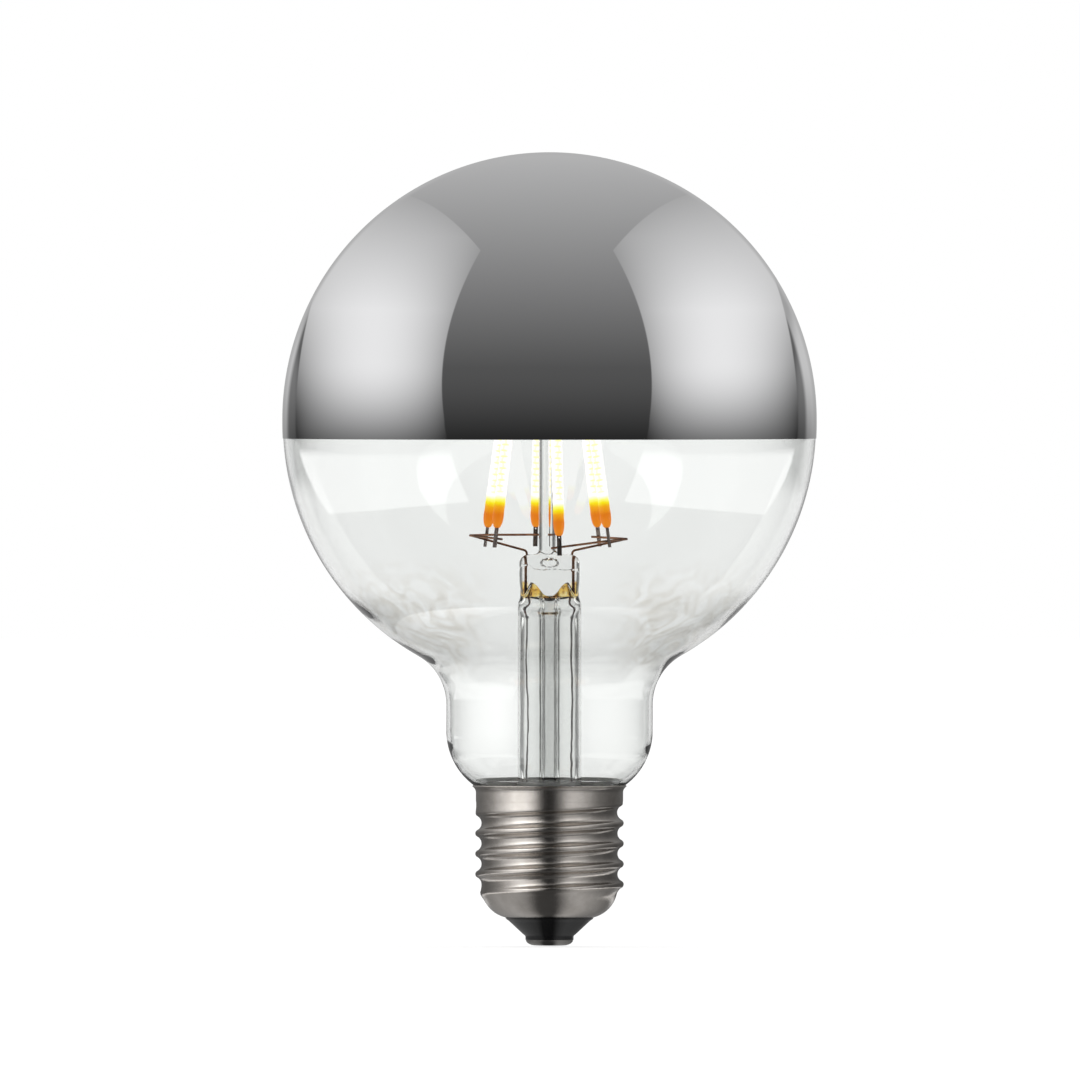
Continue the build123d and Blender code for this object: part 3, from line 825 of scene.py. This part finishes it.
fit_gap = 0.02
throat = curl_centre_radius + (foot_curl - sheet) * math.cos(math.radians(curl_end_angle)) - 2 * fit_gap
contact_height = 1.0
insulator_bore = 1.22
insulator_rim = (4.3, 1.6)
foot_fillet = 0.12
waist_fillet = 0.2
cone_foot = (insulator_rim[0] + 0.1, insulator_rim[1] + 0.14)
cone_top = (throat - 0.3, shell_foot_z - 0.35)
throat_fillet = 0.35
insulator_top_z = shell_foot_z + 0.9
insulator_side = np.vstack([
    [[insulator_bore, contact_height]],
    arc((insulator_rim[0] - foot_fillet, contact_height + foot_fillet), foot_fillet, -90, 0, 6),
    arc((insulator_rim[0] + waist_fillet, insulator_rim[1]), waist_fillet, 180, 140, 5),
    line(cone_foot, cone_top, 10),
    arc((throat - throat_fillet, shell_foot_z - 0.05), throat_fillet, -50, 0, 6),
    [[throat, insulator_top_z - 0.4], [throat - 0.4, insulator_top_z], [insulator_bore, insulator_top_z]],
])
insulator = skin("insulator_cone", turned(insulator_side, 160), ring=True)
finish(sharpen(insulator, 40), materials["black_insulator"], "black_insulator", "cap_insulator")

contact_flat = 2.4
contact_radius = 4.2
contact_seat_z = 1.06
rivet_radius = 1.2
bend = np.radians(np.linspace(0, 90, 12))
contact_side = np.vstack([
    [[0, 0]],
    line((0, 0), (contact_flat, 0), 4),
    np.column_stack([
        contact_flat + (contact_radius - contact_flat) * np.sin(bend), contact_height * (1 - np.cos(bend)),
    ]),
    [[contact_radius - 0.15, contact_seat_z], [rivet_radius, contact_seat_z], [0, contact_seat_z]],
])
contact = skin("contact_button", turned(contact_side, 128), True, True)
finish(sharpen(contact, 50), materials["contact_metal"], "contact_metal", "centre_contact")


# Stem

def oval(x, half_x, half_y, power, z):
    """One ring of the stem as a row of numbers: centre, half sizes, exponent and height."""
    return np.column_stack(np.broadcast_arrays(x, half_x, half_y, power, z)).astype(float)


def rings(rows, around=256):
    """A grid of superellipses, one a row: |x/a|^n + |y/b|^n = 1 about the row's centre, at its height."""
    x, a, b, n, z = rows.T[:, :, None]
    theta = np.arange(around) * math.tau / around
    c, s = np.cos(theta), np.sin(theta)
    r = (np.abs(c / a) ** n + np.abs(s / b) ** n) ** (-1 / n)
    return np.stack([x + r * c, r * s, z + 0 * theta], axis=-1)


def stem_outside():
    """The stem's outer face from the rod's bead down to the flare's rim.

    A ball, a bar, a flat press that widens from the bar and narrows at its waist, a pinch that
    rounds out into the tube, and the trumpet of the flare.
    """
    ball = np.radians(np.linspace(89.5, -37.9, 28))
    grow = np.linspace(0, 1, 14)[1:]
    edge = 1 - np.sin(np.radians(np.linspace(0, 90, 10))[1:])
    edge_drop = 1 - np.cos(np.radians(np.linspace(0, 90, 10))[1:])
    drop = np.linspace(press_top_z - press_fillet, press_foot_z, 64)[1:]
    waist = waist_depth * np.exp(-(((drop - press_foot_z - 0.6) / 1.6) ** 2))
    pinch = np.linspace(0, 1, 30)[1:]
    pinched = press_half_width - waist_depth
    opened = ease(pinch * 1.4)
    top_width = press_half_width - press_fillet
    flare = arc(flare_centre, flare_bend, 180, 180 + flare_turn, 20)[1:]
    ball_radius = bead_radius * np.cos(ball)
    return np.vstack([
        oval(rod_x, ball_radius, ball_radius, 2, bead_z + bead_radius * np.sin(ball)),
        oval(rod_x, rod_radius, rod_radius, 2, np.linspace(bead_z - 1.4, press_top_z + 0.7, 16)),
        oval(rod_x * (1 - grow), rod_radius + (top_width - rod_radius) * grow**1.5,
             rod_radius + (press_top_depth - rod_radius) * grow, 2 + 2 * grow,
             press_top_z + 0.9 * (1 - grow) ** 3),
        oval(0, press_half_width - press_fillet * edge,
             press_half_depth - (press_half_depth - press_top_depth) * edge, 4,
             press_top_z - press_fillet * edge_drop),
        oval(0, press_half_width - waist, press_half_depth, 4, drop),
        oval(0, pinched + (tube_radius - pinched) * ease(pinch * 2.2),
             press_half_depth + (tube_radius - press_half_depth) * opened, 4 - 2 * opened,
             press_foot_z - (press_foot_z - pinch_z) * pinch),
        oval(0, tube_radius, tube_radius, 2, np.linspace(pinch_z, flare_centre[1], 12)[1:]),
        oval(0, flare[:, 0], flare[:, 0], 2, flare[:, 1]),
        oval(0, flare_rim, flare_rim, 2, [seal_foot_z + rim_drop, seal_foot_z + 0.02]),
    ])


def stem_inside():
    """The stem's inner face from the flare's rim up the bore and down the exhaust tube to its tip."""
    flare = arc(flare_centre, flare_bend + tube_wall, 180 + flare_turn, 180, 20)
    rise = np.linspace(0, 1, 20)[1:]
    closing = np.linspace(0, 1, 24)[1:]
    bore = tube_radius - tube_wall
    tip = np.radians(np.linspace(0, -89.5, 14))[1:]
    tip_centre_z = exhaust_tip_z + exhaust_radius
    tip_radius = exhaust_radius * np.cos(tip)
    return np.vstack([
        oval(0, flare[:, 0], flare[:, 0], 2, flare[:, 1]),
        oval(0, bore, bore, 2, np.linspace(flare_centre[1], pinch_z, 10)[1:]),
        oval(0, bore - (bore - arch_reach) * rise, bore - (bore - arch_half_depth) * ease(rise),
             2 + (arch_power - 2) * rise, pinch_z + (arch_foot_z - pinch_z) * rise),
        oval(0, arch_reach - (arch_reach - exhaust_radius) * closing,
             arch_half_depth - (arch_half_depth - exhaust_radius) * closing,
             arch_power - (arch_power - 2) * closing, arch_foot_z),
        oval(0, exhaust_radius, exhaust_radius, 2, np.linspace(arch_foot_z - 0.4, tip_centre_z, 30)),
        oval(0, tip_radius, tip_radius, 2, tip_centre_z + exhaust_radius * np.sin(tip)),
    ])


def pressed(grid):
    """The marks of the press's jaws, cut into its two faces.

    The oval blow hole is a pit in the front face, blow_hole_depth ease(1.7 - 1.7 q) with q the
    ellipse (x/a)^2 + (z/b)^2 about its centre. A seam exp(-((z - seam_z) / 0.17)^2) crosses both
    faces below it, and curls up at its left end.
    """
    x, y, z = grid[..., 0], grid[..., 1], grid[..., 2]
    low, high = press_foot_z - 3, press_top_z - 0.3
    face = ease((z - low) / 2) * ease((high - z) / 0.5) * ease((2.35 - np.abs(y)) * 8) * (np.abs(y) > 1.2)
    oval_share = (x / blow_hole_half_width) ** 2 + ((z - blow_hole_z) / blow_hole_half_height) ** 2
    pit = ease(1.7 - 1.7 * oval_share) * (y < 0)
    seam_z = blow_hole_z - 1.25 + 0.08 * np.sin(x * 1.7) + 0.9 * ease((-2.6 - x) / 1.2)
    seam = np.exp(-(((z - seam_z) / 0.17) ** 2)) * ease((4.3 - np.abs(x)) / 0.4)
    moved = y - np.sign(y) * face * (blow_hole_depth * pit + seam_depth * seam)
    return np.stack([x, moved, z], axis=-1)


def arched(grid):
    """The bore's ceiling, raised in two broad lobes that dip to the exhaust tube between them.

    With t from 0 at the exhaust tube to 1 at the ceiling's edge, the ceiling rises by arch_rise times
    ease(2.1 (1 - t)) (0.45 + 0.55 cos^2 theta) - 0.42 exp(-(t / 0.3)^2). The glass at its two sides
    rises by wing_rise exp(-((|x| - 2.6) / 1.2)^2).
    """
    x, y, z = grid[..., 0], grid[..., 1], grid[..., 2]
    reach = np.hypot(x, y)
    ceiling = np.abs(z - arch_foot_z) < 0.01
    across = np.clip((reach - exhaust_radius) / (arch_reach - exhaust_radius), 0, 1)
    sideways = (x / np.maximum(reach, 0.01)) ** 2
    lobe = ease(2.1 * (1 - across)) * (0.45 + 0.55 * sideways) - 0.42 * np.exp(-((across / 0.3) ** 2))
    climb = ease((z - pinch_z - 1) / (arch_foot_z - pinch_z - 1)) * (reach > exhaust_radius + 0.01)
    wings = wing_rise * np.exp(-(((np.abs(x) - 2.6) / 1.2) ** 2)) * climb
    return np.stack([x, y, z + wings + ceiling * arch_rise * lobe], axis=-1)


seal_inside = seal_radius - glass_wall
flare_rim = seal_inside - 0.02
rim_drop = tube_wall / math.sin(math.radians(flare_turn))
flare_reach = seal_inside - tube_radius - flare_bend * (1 - math.cos(math.radians(flare_turn)))
flare_centre = (
    tube_radius + flare_bend,
    seal_foot_z + rim_drop + flare_reach / math.tan(math.radians(flare_turn))
    + flare_bend * math.sin(math.radians(flare_turn)),
)
stem = np.concatenate([pressed(rings(stem_outside())), arched(rings(stem_inside()))])
finish(
    sharpen(skin("pressed_stem", stem, True, True, downwards=True), 50),
    materials["stem_glass"], "stem_glass", "stem_tube", "exhaust_tube", "centre_rod",
)

bore_foot_z = exhaust_tip_z + 2.2
bore_top = np.array([(0.9, -0.5), (0.74, -0.1), (0.4, 0.15), (0, 0.2)])
bore_side = np.vstack([
    arc((0, bore_foot_z), exhaust_bore, -89, 0, 8),
    line((exhaust_bore, bore_foot_z), (exhaust_bore, exhaust_top_z - 1), 30),
    bore_top + [0, exhaust_top_z],
])
finish(skin("exhaust_bore", turned(bore_side, 64), True, True), bore_air, "stem_glass")


# Leads below the press

def outer_lead_path(side):
    """The thin lead from its weld bead down the bore to the board, wandering as bent wire does.

    x = side (lead_spacing + 0.14 sin(0.3 z + side) + 0.04 sin(1.15 z + 2 side)), faded at the knot,
    and the foot steps onto the board's face.
    """
    z = np.linspace(weld_bead_z, outer_lead_foot_z, 120)
    fade = ease((weld_bead_z - z) / 3)
    wander = 0.14 * np.sin(0.3 * z + side) + 0.04 * np.sin(1.15 * z + 2 * side)
    x = side * (lead_spacing + fade * (wander * ease((z - 20) / 6) - 0.02))
    y = board_face_y * ease((24 - z) / 4) + 0.25 * np.sin(0.33 * z) * fade * ease((z - 22) / 6)
    return np.column_stack([x, y, z])


for name, side in (("left", -1), ("right", 1)):
    path = outer_lead_path(side)
    knot = 1 + 1.3 * np.exp(-(((weld_bead_z - path[:, 2] - 0.35) / 0.42) ** 2))
    lead = drawn_wire(path, outer_lead_radius * knot)
    finish(
        skin(f"bent_lead_{name}", lead, downwards=True), materials[slots[f"outer_lead_{name}"]],
        slots[f"outer_lead_{name}"], f"outer_lead_{name}",
    )


# Filaments

def filament_profile():
    """Heights along a filament, and its radius at each: an ellipse at both ends and a faint wave.

    Over the chips the radius is filament_radius - chip_swell (1 - cos(2 pi h / chip_pitch)).
    """
    end = np.linspace(0, 1, 18)[1:] ** 1.5
    round_end = filament_end_flat + (filament_radius - filament_end_flat) * np.sqrt(1 - (1 - end) ** 2)
    middle = np.linspace(filament_end, filament_length - filament_end, 240)[1:-1]
    h = np.concatenate([
        [0, 0], end * filament_end, middle, filament_length - end[::-1] * filament_end,
        [filament_length, filament_length],
    ])
    r = np.concatenate([
        [0, filament_end_flat], round_end, np.full(len(middle), filament_radius), round_end[::-1],
        [filament_end_flat, 0],
    ])
    inner = ease((h - 2) / 2) * ease((filament_length - 2 - h) / 2)
    return h, r - inner * chip_swell * (1 - np.cos(math.tau * h / chip_pitch))


def filament_grid(bearing_degrees, foot_z):
    """One filament: its profile turned round a line that leans in towards the rod as it rises.

    The middle of the UV map's width faces the front, but for a turn of 0.35 sin(3 bearing), so that
    the filaments don't all show their chips alike.
    """
    h, r = filament_profile()
    a = math.radians(bearing_degrees)
    out = np.array([math.cos(a), math.sin(a), 0])
    up = np.array([0, 0, 1.0])
    along = up * math.cos(filament_lean) - out * math.sin(filament_lean)
    across = out * math.cos(filament_lean) + up * math.sin(filament_lean)
    side = np.cross(along, across)
    front = math.atan2(-math.cos(a), -math.sin(a)) + 0.35 * math.sin(3 * a)
    theta = np.arange(48) * math.tau / 48 + front - math.pi
    circle = filament_circle - (foot_z - filament_foot_z) * math.tan(filament_lean)
    foot = np.array([rod_x, 0, foot_z]) + out * circle
    round_points = across * np.cos(theta)[:, None] + side * np.sin(theta)[:, None]
    return foot + along * h[:, None, None] + round_points * r[:, None, None]


for number, bearing_degrees in enumerate(filament_bearings, 1):
    foot_z = filament_foot_z - (front_filament_drop if number == 1 else 0)
    bar = skin(f"lit_filament_{number}", filament_grid(bearing_degrees, foot_z), True, True)
    finish(sharpen(bar, 60), materials["filament_coat"], "filament_coat", f"filament_{number}")


# Floor, world and camera

# Light round the lamp's foot and on the cap's screen: (degrees right of the front, light)
floor_light = [
    (-160, 0.25), (-100, 0.40), (-60, 0.50), (-35, 0.40), (-18, 0.08), (10, 0.06), (28, 0.45), (45, 0.55),
    (75, 0.35), (110, 0.20), (160, 0.25),
]
screen_light = [
    (-160, 0.10), (-110, 0.12), (-85, 0.24), (-62, 0.60), (-46, 0.95), (-30, 0.85), (-19, 0.50),
    (-11, 0.02), (6, 0.01), (15, 0.18), (26, 0.50), (36, 0.46), (52, 0.30), (70, 0.12), (100, 0.07),
    (160, 0.10),
]
white = (1.0, 1.0, 1.0)
floor_width = 12000.0
floor_drop = 0.2
screen_radius = 36.0
screen_foot_z = 3.6
screen_top_z = 45.6
softbox_edge = 0.006


def ring_light(shader, x, y, stops):
    """Light that runs with the bearing round the lamp."""
    turn = x.math("ARCTAN2", x, y * -1.0) / math.tau + 0.5
    return shader.ramp(turn, [(place / 360 + 0.5, (glow, glow, glow)) for place, glow in stops])


def studio_floor():
    """A pale floor. The camera sees it as white, less the shade that the lamp casts on it.

    Through glass it is clear, but for a white wedge behind the lamp. Shiny surfaces see only a ring
    of light close round the lamp's foot, and the studio beyond it.
    """
    bpy.ops.mesh.primitive_plane_add(size=floor_width * mm, location=(0, 0, -floor_drop * mm))
    floor = bpy.context.object
    floor.name = "studio_floor"
    made, shader = blank("studio_floor")
    paper = shader.add("ShaderNodeBsdfDiffuse", None, {"Color": (0.8, 0.8, 0.8)}).output("BSDF")
    clear = shader.add("ShaderNodeBsdfTransparent").output("BSDF")
    rays = shader.add("ShaderNodeLightPath")
    lit_paper = shader.both(paper, shader.emission(white, 0.75))
    plain = shader.blend(rays.number("Is Camera Ray"), paper, lit_paper)
    x, y, _ = shader.parts(shader.place())
    reach = (x * x + y * y).root()
    wedge = shader.blend((y / reach).over(0.86, 0.93), clear, shader.emission(white, 1.0))
    seen = shader.blend(rays.number("Is Transmission Ray"), plain, wedge)
    ring = shader.emission(ring_light(shader, x, y, floor_light), 1.0)
    mirrored = shader.blend((reach / mm).over(28.0, 36.0), ring, clear)
    shiny = rays.number("Is Glossy Ray") * (1.0 - rays.number("Is Transmission Ray"))
    shader.surface(shader.blend(shiny, seen, mirrored))
    floor.data.materials.append(made)


def softbox(side, rise):
    """Whether a direction lies on a softbox, and the softbox's light there.

    Its inner, top, rear and foot edges are curves in side and rise. Its light falls off towards both
    sides of its middle, and faster near its foot. Its lowest part, which the crown doesn't mirror, is
    bright all over.
    """
    inner = 0.389 - (rise - 0.13) * (rise - 0.13) * 0.571
    lean = side - 0.245
    top = lean * 1.2365 - lean * lean * 1.777 + 0.632
    below = (0.0 - rise).most(0.0)
    rear = 0.942 - rise * rise * 0.3 - below * below * 0.75
    foot = -0.267 - side * 0.096
    panel = (side - inner).over(0.0, softbox_edge) * (top - rise).over(0.0, softbox_edge)
    panel = panel * (rear - side).over(0.0, softbox_edge) * (rise - foot).over(0.0, softbox_edge)
    fade = 0.84 - (rise - 0.41).most(0.0)
    falloff = (10.4 - rise * 12.0).most(2.2).least(11.0)
    glow = (fade * (1.0 - (side - 0.65) * (side - 0.65) * falloff)).most(0.0)
    return panel, glow.most(rise.over(-0.08, -0.13) * 1.5)


def studio_world():
    """A studio of two tall softboxes, left and right, under a ceiling that brightens overhead.

    A direction is described by the normal that would mirror it to the front: side is that normal's
    x and rise its z. The room is brighter at both sides, low down and straight behind the lamp. The
    camera sees white, and so does glass that looks straight back.
    """
    world = bpy.data.worlds.new("studio")
    bpy.context.scene.world = world
    world.use_nodes = True
    shader = Shader(world.node_tree)
    x, y, z = shader.parts(shader.add("ShaderNodeTexCoord").output("Generated"))
    length = (2.0 - y * 2.0).most(0.00001).root()
    side = (x / length + 0.01).absolute()
    rise = z / length
    reach = (side * side + rise * rise).root()
    ceiling = (rise.most(0.0) ** 1.3 * 0.435 + 0.038).most(0.09)
    limb = reach.over(0.962, 0.978) * 0.36
    wall = (side - 0.9).over(0.0, 0.05) * 0.2 + limb
    low = rise.over(-0.15, -0.3) * rise.over(-0.75, -0.6) * reach.over(0.6, 0.85) * 0.8
    room = ceiling.most(wall).most(low)
    panel, glow = softbox(side, rise)
    light = room * (1.0 - panel) + glow * panel
    light = light + (0.45 - light) * y.over(0.93, 0.985)
    rays = shader.add("ShaderNodeLightPath")
    seen = (y.over(0.86, 0.93) * rays.number("Is Transmission Ray")).most(rays.number("Is Camera Ray"))
    light = light * (1.0 - seen) + seen
    background = shader.add("ShaderNodeBackground", None, {"Color": white, "Strength": light})
    output = shader.add("ShaderNodeOutputWorld")
    shader.feed(output.node.inputs["Surface"], background.output("Background"))


def cap_surround():
    """A low curved screen round the cap that only shiny surfaces see, below what the crown reflects.

    Its light runs with the bearing: black in front, a broad panel to the left, a narrower and
    weaker one to the right, and dim grey behind both. It is brighter towards its top.
    """
    theta = np.radians(np.linspace(-160, 160, 161))
    rows = np.vstack([
        np.column_stack([screen_radius * np.sin(theta), -screen_radius * np.cos(theta), z + 0 * theta])
        for z in (screen_foot_z, screen_top_z)
    ])
    mesh = bpy.data.meshes.new("cap_surround")
    first = np.arange(len(theta) - 1)
    faces = np.column_stack([first, first + 1, first + len(theta) + 1, first + len(theta)])
    mesh.from_pydata((rows * mm).tolist(), [], faces.tolist())
    screen = bpy.data.objects.new("cap_surround", mesh)
    bpy.context.scene.collection.objects.link(screen)
    made, shader = blank("cap_surround")
    x, y, z = shader.parts(shader.place())
    light = ring_light(shader, x, y, screen_light)
    height = (z / mm).over(18.0, 44.0)
    shader.surface(shader.blend(height, shader.emission(light, 1.3), shader.emission(light, 3.2)))
    mesh.materials.append(made)
    screen.visible_camera = False
    screen.visible_diffuse = False
    screen.visible_transmission = False
    screen.visible_shadow = False


def photograph_camera():
    """A very long lens, a little above the crown's edge, that looks at the photograph's centre."""
    centre_x = (photo_size / 2 - axis_column) * pixel
    centre_z = (floor_row - photo_size / 2) * pixel
    camera = bpy.data.cameras.new("camera")
    camera.sensor_width = sensor_width
    camera.lens = sensor_width * camera_distance / (photo_size * pixel)
    holder = bpy.data.objects.new("camera", camera)
    bpy.context.scene.collection.objects.link(holder)
    holder.location = (centre_x * mm, -camera_distance * mm, camera_z * mm)
    holder.rotation_euler = (math.pi / 2 - math.atan2(camera_z - centre_z, camera_distance), 0, 0)
    bpy.context.scene.camera = holder


studio_floor()
studio_world()
cap_surround()
photograph_camera()
bpy.context.scene.view_settings.view_transform = "Standard"
